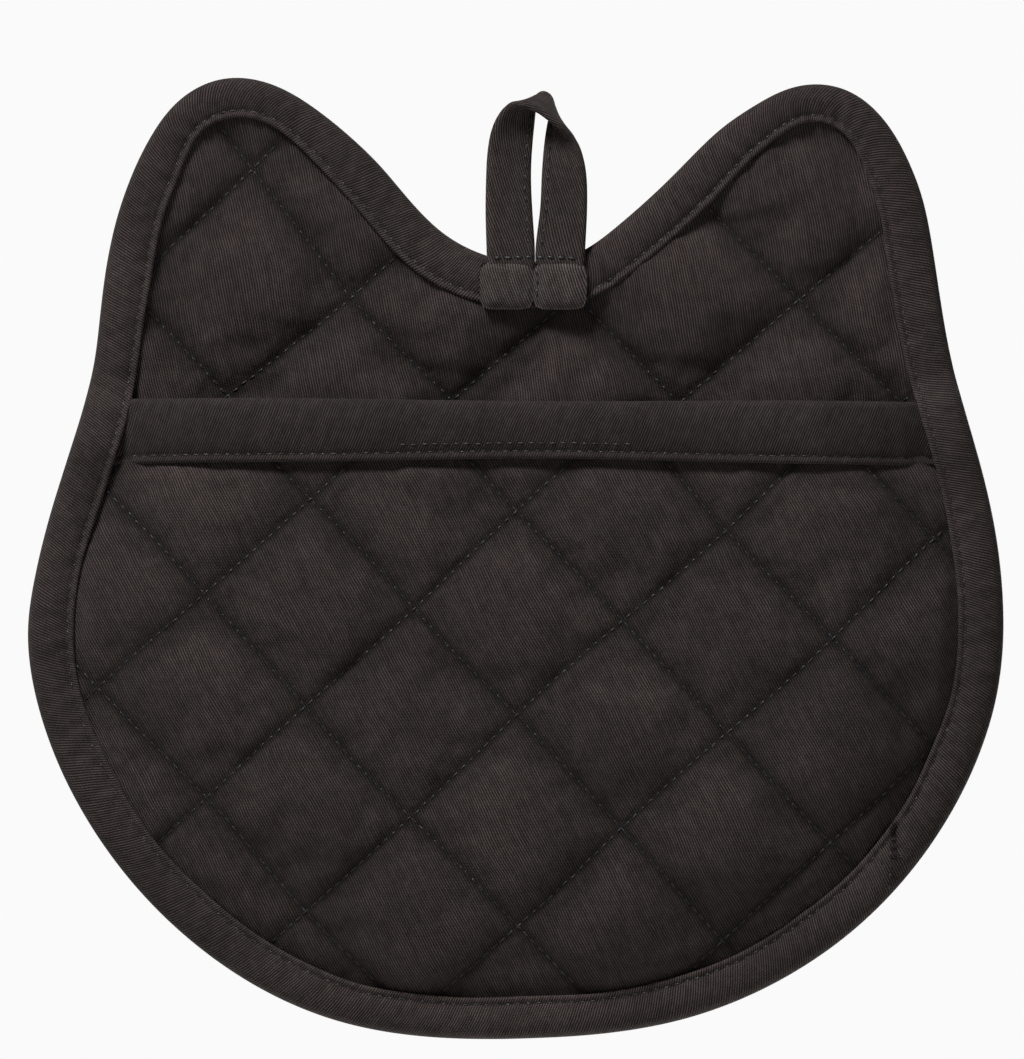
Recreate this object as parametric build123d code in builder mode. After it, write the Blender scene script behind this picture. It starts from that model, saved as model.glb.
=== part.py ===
# A pocket oven mitt: a quilted pad with two rounded ears, a hand pocket sewn over its lower part, a bias
# binding round the edge and a hanging loop of folded tape between the ears.
#
# Millimetres. It hangs as on a hook: +Z is up, the pocket faces -Y, and the origin is where the hook bears,
# at the top of the loop's slit, in the middle of the tape's thickness. Depths along Y are written as
# "forward" distances, which grow towards the pocket, so a face at forward 5 lies at y = -5.

from build123d import *
import math
import os

os.makedirs("parts", exist_ok=True)

# ---------------------------------------------------------------- driving dimensions
pad_width = 220.0           # across the cheeks
pad_height = 216.7          # from the chin to the higher ear tip
valley_drop = 33.0          # from the hook to the bottom of the valley between the ears

cloth = 0.6                 # thickness of the twill
wadding = 3.6               # thickness of the insulation in each quilted panel
pressed_wadding = 1.8       # the base panel's insulation where the binding presses it
pressed_pocket_wadding = 0.8  # the pocket's insulation along its sewn edge
binding_width = 9.5         # how far the edge binding reaches in from the edge
binding_wall = 1.2          # two layers of folded bias strip
binding_round = 1.4         # rounding of the binding's outer fold
puff_width = 3.0            # how far in from the binding the base panel reaches its full thickness

mouth_height = 0.657 * pad_height     # the pocket's mouth above the chin
mouth_gap = 6.0             # how far the pocket stands off the base panel
pocket_rim = 2.0            # flat edge of the pocket beside the edge binding
pocket_slope = 9.0          # how far the pocket takes to rise from that edge to its full gap
band_width = 11.4           # height of the strip on the pocket's mouth, below the top of the cloth
band_inner_width = 10.4     # the same on the inside
band_wall = 1.2             # two layers of that strip
sewn_clearance = 0.3        # between the pocket and what it moves against

tape_width = 10.4           # the loop's tape
tape_thickness = 1.6
slit_width = 2.2            # between the two legs of the loop
loop_height = 5.5           # from the hook to the top of the loop
loop_top_depth = 9.2        # the tape's depth where it stands on edge
loop_turn = 9.0             # how far below the hook the tape starts to turn on edge
loop_end_height = 10.8      # sewn-down length of the tape on the pad's face
loop_end_width = 11.9       # each turned-under end
loop_seam_x = -0.9          # where the two ends meet
hinge_above_valley = 4.2    # height of the loop's bend above the bottom of the valley
hinge_gap = 0.7             # gap between the rounded tape ends at the bend
slit_foot = 1.3             # height of the slit's lower end above the end of the loop

thread = 0.5                # width of a row of stitches
thread_height = 0.3         # how far a row of stitches stands off the cloth
stitch_inset = 8.2          # distance of the edge stitching from the pad's edge
band_row_height = 1.4       # height of the band's stitch row above the band's lower edge
band_row_gap = 1.8          # between the two rows where the stitching is doubled
doubled_row_length = 54.0
tape_row_inset = 1.4        # distance of the loop's stitch row from the slit

base_rise_angle = 40.3      # base panel rows that rise to the right
base_rise_pitch = 33.0
base_fall_angle = -46.5     # base panel rows that fall to the right
base_fall_pitch = 36.1
base_crossing = (-41.7, -40.3)   # one place where two rows cross
pocket_rise_angle = 42.4
pocket_rise_pitch = 34.1
pocket_fall_angle = -46.6
pocket_fall_pitch = 32.0
pocket_crossing = (-4.5, -135.8)

# ---------------------------------------------------------------- depths, as forward distances
tape_back = -tape_thickness / 2
tape_front = tape_thickness / 2
binding_front = tape_back
base_front = binding_front - binding_wall
base_back = base_front - 2 * cloth - wadding
rim_back = base_front - 2 * cloth - pressed_wadding
binding_back = rim_back - binding_wall
pocket_back = base_front + mouth_gap
pocket_front = pocket_back + 2 * cloth + wadding
pocket_rim_back = base_front + sewn_clearance
pocket_rim_front = pocket_rim_back + 2 * cloth + pressed_pocket_wadding

# ---------------------------------------------------------------- places on the pad's face
drawn_width = 220.0         # the outline below is drawn at these sizes and scaled to the driving ones
drawn_height = 216.7
drawn_valley_to_chin = 175.1
width_scale = pad_width / drawn_width
height_scale = pad_height / drawn_height
valley_z = -valley_drop
chin_z = valley_z - drawn_valley_to_chin * height_scale
mouth_z = chin_z + mouth_height
band_foot_z = mouth_z - band_width
hinge_z = valley_z + hinge_above_valley
loop_foot_z = hinge_z + hinge_gap / 2
end_top_z = hinge_z - hinge_gap / 2
tack_z = valley_z
end_foot_z = tack_z - loop_end_height
pocket_inset = binding_width + sewn_clearance
pocket_flat_inset = pocket_inset + pocket_rim + pocket_slope
base_flat_inset = binding_width + puff_width
leg_reach = slit_width / 2 + tape_width

# ---------------------------------------------------------------- the outline
# Points round the pad, from the bottom of the valley anticlockwise. Each is (x, height above the valley).
# The cut is a little uneven, as the sewn one is.
valley = [(-1.1, 0.0), (-13.2, 2.1)]
left_ear_inner = [(-24.6, 9.4), (-32.4, 18.4), (-41.2, 27.4), (-52.7, 36.4)]
left_ear_outer = [(-68.0, 41.6), (-80.8, 36.4), (-87.6, 27.4)]
left_cheek = [(-93.7, 13.4), (-98.2, -8.7), (-99.8, -22.2), (-107.4, -49.2), (-113.5, -72.5), (-114.8, -85.2)]
left_jaw = [(-113.8, -94.3), (-104.0, -121.3), (-83.4, -148.3), (-46.2, -170.8)]
chin = [(-1.6, -175.1)]
right_jaw = [(32.9, -170.8), (74.1, -148.3), (95.0, -121.3), (104.3, -94.3)]
right_cheek = [(105.2, -80.8), (100.9, -49.2), (93.5, -22.2), (89.0, 4.8)]
right_ear_outer = [(86.0, 17.5), (81.4, 27.4), (74.4, 36.0), (63.5, 40.2)]
right_ear_inner = [(50.9, 36.3), (38.5, 27.4), (29.7, 18.4)]
right_valley = [(19.6, 9.4), (11.3, 3.0)]
left_points = left_ear_inner + left_ear_outer + left_cheek + left_jaw
right_points = right_jaw + right_cheek + right_ear_outer + right_ear_inner
drawn_points = valley + left_points + chin + right_points + right_valley
outline_points = [(x * width_scale, valley_z + h * height_scale) for x, h in drawn_points]

with BuildLine() as outline_line:
    Spline(*outline_points, periodic=True)
outline_edge = outline_line.edges()[0]


def place_and_inward(share):
    """A point a share of the way round the outline, and the direction from it into the pad."""
    place = outline_edge.position_at(share)
    along = outline_edge.tangent_at(share)
    return (place.X, place.Y), (-along.Y, along.X)


def moved_in(samples, distance):
    """The sampled points, each moved into the pad by a distance."""
    return [(x + inward_x * distance, z + inward_z * distance) for (x, z), (inward_x, inward_z) in samples]


def share_at_height(above, below, z):
    """The place on the outline at a height, between a place above it and a place below it."""
    for _ in range(30):
        middle = (above + below) / 2
        if outline_edge.position_at(middle).Y > z:
            above = middle
        else:
            below = middle
    return middle


outline_count = 72
outline_samples = [place_and_inward(i / outline_count) for i in range(outline_count)]
pocket_count = 40
mouth_left = share_at_height(0.2, 0.5, mouth_z + band_width)
mouth_right = share_at_height(0.8, 0.5, mouth_z + band_width)
pocket_step = (mouth_right - mouth_left) / pocket_count
pocket_samples = [place_and_inward(mouth_left + i * pocket_step) for i in range(pocket_count + 1)]


def outline_face(distance, forward):
    """The pad's outline moved in by a distance, as a face standing at a forward depth."""
    with BuildSketch(Plane.XZ.offset(forward)) as face:
        with BuildLine():
            Spline(*moved_in(outline_samples, distance), periodic=True)
        make_face()
    return face.sketch


def pocket_face(distance, forward):
    """The lower part of the outline, up to a little above the mouth, moved in by a distance, as a face."""
    with BuildSketch(Plane.XZ.offset(forward)) as face:
        with BuildLine():
            edge = Spline(*moved_in(pocket_samples, distance))
            Line(edge @ 1, edge @ 0)
        make_face()
    return face.sketch


def pocket_block(rim_forward, middle_forward):
    """What lies behind one surface of the pocket, down to the plane of its sewn edge."""
    rise_inset = pocket_inset + pocket_rim
    with BuildPart() as block:
        if rim_forward > pocket_rim_back:
            extrude(pocket_face(pocket_inset, pocket_rim_back), amount=rim_forward - pocket_rim_back)
        sections = [pocket_face(rise_inset, rim_forward), pocket_face(pocket_flat_inset, middle_forward)]
        loft(sections, ruled=True)
    return block.part


def level_zone(low_z, high_z):
    """A box across the whole pad between two heights."""
    with BuildPart() as zone:
        with BuildSketch(Plane.XY.offset(low_z)):
            Rectangle(2 * pad_width, 2 * pad_width)
        extrude(amount=high_z - low_z)
    return zone.part


def row_lattice(crossing, rise, fall, face, forward):
    """Two families of straight stitch rows through a crossing, each (angle, pitch), inside a face's edge."""
    reach = 0.85 * max(pad_width, pad_height)
    with BuildSketch(Plane.XZ.offset(forward)) as lattice:
        for angle, pitch in (rise, fall):
            across = math.radians(angle + 90)
            rows = int(reach / pitch) + 1
            for k in range(-rows, rows + 1):
                step = k * pitch
                centre = (crossing[0] + step * math.cos(across), crossing[1] + step * math.sin(across))
                with Locations(centre):
                    Rectangle(2 * reach, thread, rotation=angle)
    with BuildPart() as rows_part:
        extrude(face, amount=thread_height)
        extrude(lattice.sketch, amount=thread_height, mode=Mode.INTERSECT)
    return rows_part.part


# ---------------------------------------------------------------- base panel
wadding_back = base_back + cloth
wadding_rim_back = rim_back + cloth

with BuildPart() as base_front_cover:
    extrude(outline_face(binding_wall, base_front - cloth), amount=cloth)

with BuildPart() as base_wadding:
    extrude(outline_face(binding_wall, wadding_rim_back), amount=pressed_wadding)
    sections = [outline_face(binding_width, wadding_rim_back), outline_face(base_flat_inset, wadding_back)]
    loft(sections, ruled=True)

# ---------------------------------------------------------------- edge binding
with BuildPart() as edge_binding:
    extrude(outline_face(0, binding_back), amount=binding_front - binding_back)
    folds = edge_binding.edges()
    fillet(folds.filter_by(GeomType.LINE, reverse=True), radius=binding_round)
    extrude(outline_face(binding_wall, rim_back), amount=base_front - rim_back, mode=Mode.SUBTRACT)
    window = outline_face(binding_width, binding_back)
    extrude(window, amount=binding_front - binding_back, mode=Mode.SUBTRACT)


def edge_row(forward):
    """The row of stitches along the binding's inner edge, standing forward from a depth."""
    with BuildPart() as row:
        extrude(outline_face(stitch_inset, forward), amount=thread_height)
        extrude(outline_face(stitch_inset + thread, forward), amount=thread_height, mode=Mode.SUBTRACT)
    return row.part


# ---------------------------------------------------------------- quilting and rear cover of the base panel
base_rise = (base_rise_angle, base_rise_pitch)
base_fall = (base_fall_angle, base_fall_pitch)

with BuildPart() as base_quilting_front:
    flat_front = outline_face(base_flat_inset, base_front)
    add(row_lattice(base_crossing, base_rise, base_fall, flat_front, base_front))

# the rear rows are drawn down into the cover, so that the pad lies flat on its back
with BuildPart() as base_quilting_rear:
    flat_back = outline_face(base_flat_inset, base_back)
    add(row_lattice(base_crossing, base_rise, base_fall, flat_back, base_back))

with BuildPart() as base_rear_cover:
    extrude(outline_face(binding_wall, rim_back), amount=cloth)
    loft([outline_face(binding_width, rim_back), outline_face(base_flat_inset, base_back)], ruled=True)
    add(base_wadding.part, mode=Mode.SUBTRACT)
    add(base_quilting_rear.part, mode=Mode.SUBTRACT)

# ---------------------------------------------------------------- pocket
below_mouth = level_zone(chin_z - pad_height, mouth_z)
lining_block = pocket_block(pocket_rim_back, pocket_back)
wadding_block = pocket_block(pocket_rim_back + cloth, pocket_back + cloth)
cover_block = pocket_block(pocket_rim_front - cloth, pocket_front - cloth)
front_block = pocket_block(pocket_rim_front, pocket_front)
band_block = pocket_block(pocket_rim_front + band_wall, pocket_front + band_wall)

with BuildPart() as pocket_lining:
    add(wadding_block)
    add(lining_block, mode=Mode.SUBTRACT)
    add(below_mouth, mode=Mode.INTERSECT)

with BuildPart() as pocket_wadding:
    add(cover_block)
    add(wadding_block, mode=Mode.SUBTRACT)
    add(below_mouth, mode=Mode.INTERSECT)

with BuildPart() as pocket_front_cover:
    add(front_block)
    add(cover_block, mode=Mode.SUBTRACT)
    add(below_mouth, mode=Mode.INTERSECT)



def band_slice(outer, inner, low_z, high_z):
    """What lies between two surfaces of the pocket, between two heights."""
    with BuildPart() as piece:
        add(outer)
        add(inner, mode=Mode.SUBTRACT)
        add(level_zone(low_z, high_z), mode=Mode.INTERSECT)
    return piece.part


def flat_slice(forward, thickness, low_z, high_z):
    """A slice of the pocket's flat middle, standing forward from a depth, between two heights."""
    with BuildPart() as piece:
        extrude(pocket_face(pocket_flat_inset, forward), amount=thickness)
        add(level_zone(low_z, high_z), mode=Mode.INTERSECT)
    return piece.part


# the strip folded over the mouth: the fold, an outer flange that follows the pocket, and an inner flange on
# the flat of the lining
band_back = pocket_back - band_wall
band_front = pocket_front + band_wall

with BuildPart() as pocket_top_binding:
    add(band_slice(band_block, lining_block, mouth_z, mouth_z + band_wall))
    add(band_slice(band_block, front_block, band_foot_z, mouth_z))
    add(flat_slice(band_back, band_wall, mouth_z - band_inner_width, mouth_z + band_wall))

with BuildPart() as pocket_binding_stitching:
    row_z = band_foot_z + band_row_height
    second_row_z = row_z + band_row_gap
    add(flat_slice(band_front, thread_height, row_z, row_z + thread))
    with BuildSketch(Plane.XZ.offset(band_front)):
        with Locations((pocket_crossing[0], second_row_z)):
            Rectangle(doubled_row_length, thread)
    extrude(amount=thread_height)

pocket_rise = (pocket_rise_angle, pocket_rise_pitch)
pocket_fall = (pocket_fall_angle, pocket_fall_pitch)
inside_row_forward = pocket_back - thread_height

with BuildPart() as pocket_quilting_front:
    flat_front = pocket_face(pocket_flat_inset, pocket_front)
    add(row_lattice(pocket_crossing, pocket_rise, pocket_fall, flat_front, pocket_front))
    add(level_zone(chin_z, band_foot_z - thread), mode=Mode.INTERSECT)

with BuildPart() as pocket_quilting_inside:
    flat_inside = pocket_face(pocket_flat_inset, inside_row_forward)
    add(row_lattice(pocket_crossing, pocket_rise, pocket_fall, flat_inside, inside_row_forward))
    add(level_zone(chin_z, mouth_z - band_inner_width - thread), mode=Mode.INTERSECT)

# ---------------------------------------------------------------- hanging loop
# The loop seen from the front: the legs rise straight, then lean together. Shares are of the reach of a leg,
# and heights are above the hook.
left_lean = [(-1.0, -13.0), (-0.96, -7.7), (-0.88, -3.7), (-0.74, -0.1), (-0.55, 2.3), (-0.27, 4.3)]
right_lean = [(0.27, 4.4), (0.36, 1.9), (0.51, -0.3), (0.69, -3.3), (0.86, -7.7), (0.97, -12.1), (1.0, -17.0)]
left_side = [(share * leg_reach, z) for share, z in left_lean]
right_side = [(share * leg_reach, z) for share, z in right_lean]
slit_half = slit_width / 2
slit_foot_z = loop_foot_z + slit_foot
slit_points = [(0.2, 0.0), (-slit_half, -7.0), (-slit_half, -14.0), (-0.5, slit_foot_z)]
slit_points += [(0.1, slit_foot_z), (slit_half, -14.0), (slit_half + 0.5, -7.0), (slit_half + 0.3, -1.5)]

with BuildPart() as hanging_loop:
    with BuildSketch(Plane.XZ.offset(-loop_top_depth / 2)):
        with BuildLine():
            lean = Spline(*left_side, (0.1 * leg_reach, loop_height), *right_side)
            Polyline(lean @ 1, (leg_reach, loop_foot_z), (-leg_reach, loop_foot_z), lean @ 0)
        make_face()
        with BuildLine():
            Spline(*slit_points, periodic=True)
        make_face(mode=Mode.SUBTRACT)
    extrude(amount=loop_top_depth)
    # seen from the side: the tape is flat up the legs, has a rounded lower end, and is on edge at the top
    with BuildSketch(Plane.YZ.offset(-leg_reach)):
        with BuildLine():
            shoulder = loop_top_depth / 2
            bend_z = loop_foot_z + tape_front
            ThreePointArc((tape_back, bend_z), (0, loop_foot_z), (tape_front, bend_z))
            Line((tape_front, bend_z), (tape_front, -loop_turn))
            Line((tape_front, -loop_turn), (shoulder, 0))
            Line((shoulder, 0), (shoulder, loop_height + 1))
            Line((shoulder, loop_height + 1), (-shoulder, loop_height + 1))
            Line((-shoulder, loop_height + 1), (-shoulder, 0))
            Line((-shoulder, 0), (tape_back, -loop_turn))
            Line((tape_back, -loop_turn), (tape_back, bend_z))
        make_face()
    extrude(amount=2 * leg_reach, mode=Mode.INTERSECT)

with BuildPart() as loop_edge_stitching:
    row_length = -loop_turn - 1 - (slit_foot_z + 1)
    with BuildSketch(Plane.XZ.offset(tape_front)):
        row_x = slit_half + tape_row_inset
        with Locations((-row_x, slit_foot_z + 1), (row_x, slit_foot_z + 1)):
            Rectangle(thread, row_length, align=(Align.CENTER, Align.MIN))
    extrude(amount=thread_height)


def loop_end(side):
    """One sewn-down end of the tape, on the left (side -1) or the right (side 1) of the seam between them."""
    with BuildPart() as end:
        with BuildSketch(Plane.XZ.offset(tape_back)):
            with Locations((loop_seam_x + side * loop_end_width / 2, end_foot_z)):
                Rectangle(loop_end_width, loop_end_height, align=(Align.CENTER, Align.MIN))
            with Locations((loop_seam_x + side * tape_width / 2, tack_z)):
                Rectangle(tape_width, end_top_z - tack_z, align=(Align.CENTER, Align.MIN))
        extrude(amount=tape_thickness)
        top_edges = end.edges().filter_by(Axis.X).group_by(Axis.Z)[-1]
        fillet(top_edges, radius=tape_thickness / 2 - 0.02)
    return end.part


with BuildPart() as loop_end_left:
    add(loop_end(-1))

with BuildPart() as loop_end_right:
    add(loop_end(1))

with BuildPart() as loop_tack_stitching:
    with BuildSketch(Plane.XZ.offset(tape_front)):
        with Locations((loop_seam_x, tack_z)):
            Rectangle(2 * loop_end_width - thread, thread, align=(Align.CENTER, Align.MAX))
            Rectangle(thread, loop_end_height - thread, align=(Align.CENTER, Align.MAX))
    extrude(amount=thread_height)

# ---------------------------------------------------------------- edge stitching, stopping at the loop's ends
with BuildPart() as loop_end_gap:
    with BuildSketch(Plane.XY.offset(end_foot_z)):
        with Locations((loop_seam_x, 0)):
            Rectangle(2 * (loop_end_width + thread), 2 * pad_width)
    extrude(amount=valley_drop)

with BuildPart() as edge_stitching_front:
    add(edge_row(binding_front))
    add(loop_end_gap.part, mode=Mode.SUBTRACT)

with BuildPart() as edge_stitching_rear:
    add(edge_row(binding_back - thread_height))

# ---------------------------------------------------------------- write the pieces
pieces = {
    "base_front_cover": base_front_cover,
    "base_wadding": base_wadding,
    "base_rear_cover": base_rear_cover,
    "base_quilting_front": base_quilting_front,
    "base_quilting_rear": base_quilting_rear,
    "edge_binding": edge_binding,
    "edge_stitching_front": edge_stitching_front,
    "edge_stitching_rear": edge_stitching_rear,
    "pocket_front_cover": pocket_front_cover,
    "pocket_wadding": pocket_wadding,
    "pocket_lining": pocket_lining,
    "pocket_quilting_front": pocket_quilting_front,
    "pocket_quilting_inside": pocket_quilting_inside,
    "pocket_top_binding": pocket_top_binding,
    "pocket_binding_stitching": pocket_binding_stitching,
    "hanging_loop": hanging_loop,
    "loop_edge_stitching": loop_edge_stitching,
    "loop_end_left": loop_end_left,
    "loop_end_right": loop_end_right,
    "loop_tack_stitching": loop_tack_stitching,
}

for name, piece in pieces.items():
    piece.part.label = name
    export_step(piece.part, "parts/" + name + ".step")
    print(name, len(piece.part.solids()), round(piece.part.volume))
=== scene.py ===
# %% [markdown]
# # A pocket oven mitt
# The mitt is a quilted pad with two rounded ears, a quilted pocket sewn over its lower part, a bias strip
# folded over every raw edge, and a loop of tape to hang it by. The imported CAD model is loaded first, as a
# frame that is never moved. Every soft solid in it is then replaced by a piece shaped as cloth.

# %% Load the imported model
import bmesh
import bpy
import math
import numpy as np
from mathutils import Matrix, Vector
from mathutils.bvhtree import BVHTree


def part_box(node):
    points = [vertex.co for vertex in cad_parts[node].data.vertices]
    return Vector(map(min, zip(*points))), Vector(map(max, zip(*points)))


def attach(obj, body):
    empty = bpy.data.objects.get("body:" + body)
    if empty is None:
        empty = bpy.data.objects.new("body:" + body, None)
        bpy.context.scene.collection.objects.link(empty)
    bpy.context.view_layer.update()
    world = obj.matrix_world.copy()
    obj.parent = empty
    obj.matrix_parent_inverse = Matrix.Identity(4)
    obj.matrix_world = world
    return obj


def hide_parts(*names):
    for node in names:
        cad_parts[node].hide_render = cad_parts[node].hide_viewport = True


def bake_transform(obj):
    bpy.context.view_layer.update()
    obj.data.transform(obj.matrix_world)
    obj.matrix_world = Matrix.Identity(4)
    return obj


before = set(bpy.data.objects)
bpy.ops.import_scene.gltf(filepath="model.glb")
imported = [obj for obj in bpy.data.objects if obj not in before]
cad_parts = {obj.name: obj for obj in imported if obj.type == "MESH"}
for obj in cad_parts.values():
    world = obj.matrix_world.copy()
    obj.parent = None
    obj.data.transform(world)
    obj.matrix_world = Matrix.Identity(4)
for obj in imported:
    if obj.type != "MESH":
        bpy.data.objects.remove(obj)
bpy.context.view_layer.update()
bpy.ops.object.select_all(action="DESELECT")
mm = 0.001

# %% [markdown]
# Depths are easier to think of as "forward": how far a face stands out towards the pocket's side, in
# millimetres. Forward is the CAD's -Y. The levels below are the ones that the real layers stack up to.

# %% Levels and widths, from the frame
def low(node):
    """Lowest corner of a CAD node, in millimetres."""
    return np.array(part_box(node)[0]) / mm


def high(node):
    """Highest corner of a CAD node, in millimetres."""
    return np.array(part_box(node)[1]) / mm


chin_z = low("edge_binding")[2]
mouth_z = high("pocket_top_binding")[2]
band_foot_z = low("pocket_top_binding")[2]
binding_wall = high("edge_binding")[0] - high("base_front_cover")[0]
binding_width = 10.2
binding_front = -low("edge_binding")[1]
binding_back = -6.6
base_border = -2.1          # the front cover under the binding
base_seam = -3.8            # the front cover in its stitched rows
rear_seam = -5.5            # the rear cover in its stitched rows
pocket_border = 0.3         # the pocket's face under the binding
lining_border = -0.9
mouth_gap = 5.7             # how far the pocket stands off in the middle
pocket_reach = -50.0        # the edge below this height is the pocket's
foot_fade = 30.0            # the pocket's foot gives way over this height
cloth = 0.55
under_binding = 4.0         # the covers reach this near the edge, inside the binding
sewn_border = 9.8           # the covers are held down this far in
first_stitch = 10.4         # quilting rows begin this far in
stitch_pitch = 2.4
loop_foot_z = low("hanging_loop")[2]
end_left, end_right = low("loop_end_left")[0], high("loop_end_right")[0]
end_top_z = loop_foot_z - 4.4
end_foot_z = low("loop_end_left")[2]
end_seam = (high("loop_end_left")[0] + low("loop_end_right")[0]) / 2
print("chin", chin_z, "mouth", mouth_z, band_foot_z, "wall", binding_wall, "front", binding_front)
print("loop ends", end_left, end_right, end_foot_z, "loop foot", loop_foot_z)

# %% [markdown]
# The pad's outline is read from the rim of the front cover's CAD plate, which stops one binding wall short
# of the real edge. It is smoothed by keeping only its slow waves, so that the swept strip has no facets.

# %% Reading an outline
def smoothstep(x):
    """0 below 0, 1 above 1, and an easy curve between."""
    t = np.clip(x, 0.0, 1.0)
    return t * t * (3 - 2 * t)


def rim_points(node):
    """The (x, z) points round a flat CAD plate's outer wall, in order."""
    shell = bmesh.new()
    shell.from_mesh(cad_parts[node].data)
    bmesh.ops.remove_doubles(shell, verts=shell.verts, dist=1e-7)
    start = max(shell.verts, key=lambda v: v.co.x)
    ring, waiting = {start}, [start]
    while waiting:
        for face in waiting.pop().link_faces:
            if abs(face.normal.y) < 0.05:
                waiting += [v for v in face.verts if v not in ring]
                ring.update(face.verts)
    points = {(round(v.co.x / mm, 3), round(v.co.z / mm, 3)) for v in ring}
    shell.free()
    return np.array(sorted(points, key=lambda p: math.atan2(p[1] + 110.0, p[0])))


def evenly(points, count):
    """The closed line through these points, divided into equal steps."""
    closed = np.vstack([points, points[:1]])
    run = np.concatenate([[0], np.cumsum(np.hypot(*np.diff(closed, axis=0).T))])
    at = np.linspace(0, run[-1], count, endpoint=False)
    return np.column_stack([np.interp(at, run, closed[:, k]) for k in (0, 1)])


def slow_waves(points, waves):
    """A closed line with only its slow waves kept."""
    curve = np.fft.fft(points[:, 0] + 1j * points[:, 1])
    curve[np.abs(np.fft.fftfreq(len(points), 1 / len(points))) > waves] = 0
    line = np.fft.ifft(curve)
    return np.column_stack([line.real, line.imag])


# %% [markdown]
# The real edge lies one binding wall outside the plate's rim, so the rim is moved out along its own normals.
# The distance inside the edge is measured against it too, because most levels depend on it.

# %% The edge, and the distance inside it
def inward_of(points):
    """Unit vectors across a closed anticlockwise line, towards its inside."""
    along = np.roll(points, -1, axis=0) - np.roll(points, 1, axis=0)
    along /= np.hypot(along[:, 0], along[:, 1])[:, None]
    return np.column_stack([-along[:, 1], along[:, 0]])


plate_rim = slow_waves(evenly(rim_points("base_front_cover"), 2048), 60)
edge = evenly(plate_rim - binding_wall * inward_of(plate_rim), 2048)
edge = slow_waves(edge, 60)
inward = inward_of(edge)
edge_length = np.hypot(*(np.roll(edge, -1, axis=0) - edge).T).sum()
print("outline", edge.min(0).round(1), edge.max(0).round(1), "length", round(edge_length, 1))


def inside_distance(points):
    """How far each (x, z) point is inside the pad's edge."""
    distance = np.empty(len(points))
    for start in range(0, len(points), 1500):
        block = points[start:start + 1500]
        gap = ((block[:, None, :] - edge[None, :, :]) ** 2).sum(2)
        nearest = gap.argmin(1)
        side = ((block - edge[nearest]) * inward[nearest]).sum(1)
        distance[start:start + 1500] = np.sqrt(gap.min(1)) * np.sign(side)
    return distance


# %% [markdown]
# Both panels are quilted in diamonds. A lattice is a crossing of two rows and the two steps from it to the
# next crossings, so a place on the cloth has lattice coordinates, and a row is where one is a whole number.

# %% The two quilting lattices
def sway(points, size, strength, seed):
    """A slow wander in one value, from a few sine waves, for what hands never do evenly."""
    rng = np.random.default_rng(seed)
    total = np.zeros(len(points))
    for _ in range(6):
        way = rng.normal(size=points.shape[1])
        way *= 2 * np.pi / (size * rng.uniform(0.6, 1.6) * np.linalg.norm(way))
        total += np.sin(points @ way + rng.uniform(0, 6.3))
    return total * strength / 6 ** 0.5


class Lattice:
    """A quilting pattern: a crossing, the step along the rising rows and the step along the falling rows."""

    def __init__(self, crossing, rise, fall, ear_lift):
        self.crossing = np.array(crossing)
        self.steps = np.array([rise, fall])
        self.ear_lift = ear_lift

    def place(self, uv):
        """(x, z) of lattice coordinates."""
        points = self.crossing + uv @ self.steps
        lift = np.maximum(0, points[:, 1] + 40) * smoothstep((-20 - points[:, 0]) / 30)
        points[:, 1] += self.ear_lift * lift
        points[:, 0] += sway(points, 60.0, 0.5, 3)
        points[:, 1] += sway(points, 60.0, 0.5, 4)
        return points

    def reach(self):
        """Whole lattice coordinates that hold the whole pad."""
        uv = (edge - self.crossing) @ np.linalg.inv(self.steps)
        return np.floor(uv.min(0) - 0.6).astype(int), np.ceil(uv.max(0) + 0.6).astype(int)


base_lattice = Lattice((-41.7, -40.3), (27.6, 23.4), (22.8, -24.0), 0.2)
pocket_lattice = Lattice((-4.5, -135.8), (23.6, 21.6), (23.4, -24.8), 0.0)
print("base lattice", base_lattice.reach(), "pocket lattice", pocket_lattice.reach())


# %% [markdown]
# How far each layer stands forward. The pocket is sewn down round its edge and arches away from the pad in
# the middle of its mouth, so its levels rise with the distance from the edge.

# %% Levels of the layers
def arch(inside):
    """How far the pocket stands off the pad, at a distance inside the edge."""
    return mouth_gap * smoothstep((inside - 8.5) / 27) ** 0.9


def base_front_level(points, inside):
    return base_border + (base_seam - base_border) * smoothstep((inside - 9.6) / 4)


def base_rear_level(points, inside):
    return np.full(len(points), rear_seam)


def pocket_arch(points, inside):
    """The pocket's arch, a quarter flatter at the chin."""
    chin_ease = 0.75 + 0.25 * smoothstep((points[:, 1] - chin_z - 15) / 60)
    return arch(inside) * chin_ease


def pocket_front_level(points, inside):
    return pocket_border + pocket_arch(points, inside) + 1.5 * smoothstep((inside - 9.5) / 6)


def pocket_lining_level(points, inside):
    return lining_border + pocket_arch(points, inside)


# %% [markdown]
# Every piece below is a mesh whose points are read, moved and written back as one array, so a few helpers
# come first. The map named cloth is in millimetres of cloth, which lets the weave keep its real size.

# %% Mesh helpers
def deselect():
    bpy.ops.object.select_all(action="DESELECT")


def activate(piece):
    """Selects one piece alone and makes it the active one."""
    deselect()
    piece.select_set(True)
    bpy.context.view_layer.objects.active = piece


def coordinates(piece):
    values = np.empty(len(piece.data.vertices) * 3)
    piece.data.vertices.foreach_get("co", values)
    return values.reshape(-1, 3)


def smooth(piece):
    activate(piece)
    bpy.ops.object.shade_smooth()
    deselect()


def new_piece(name, points, faces):
    """A new piece from points in metres and faces."""
    mesh = bpy.data.meshes.new(name)
    mesh.from_pydata(points.tolist(), [], faces)
    piece = bpy.data.objects.new(name, mesh)
    bpy.context.collection.objects.link(piece)
    return piece


def move_points(piece, points):
    piece.data.vertices.foreach_set("co", np.ascontiguousarray(points, dtype=np.float32).ravel())
    piece.data.update()


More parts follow.
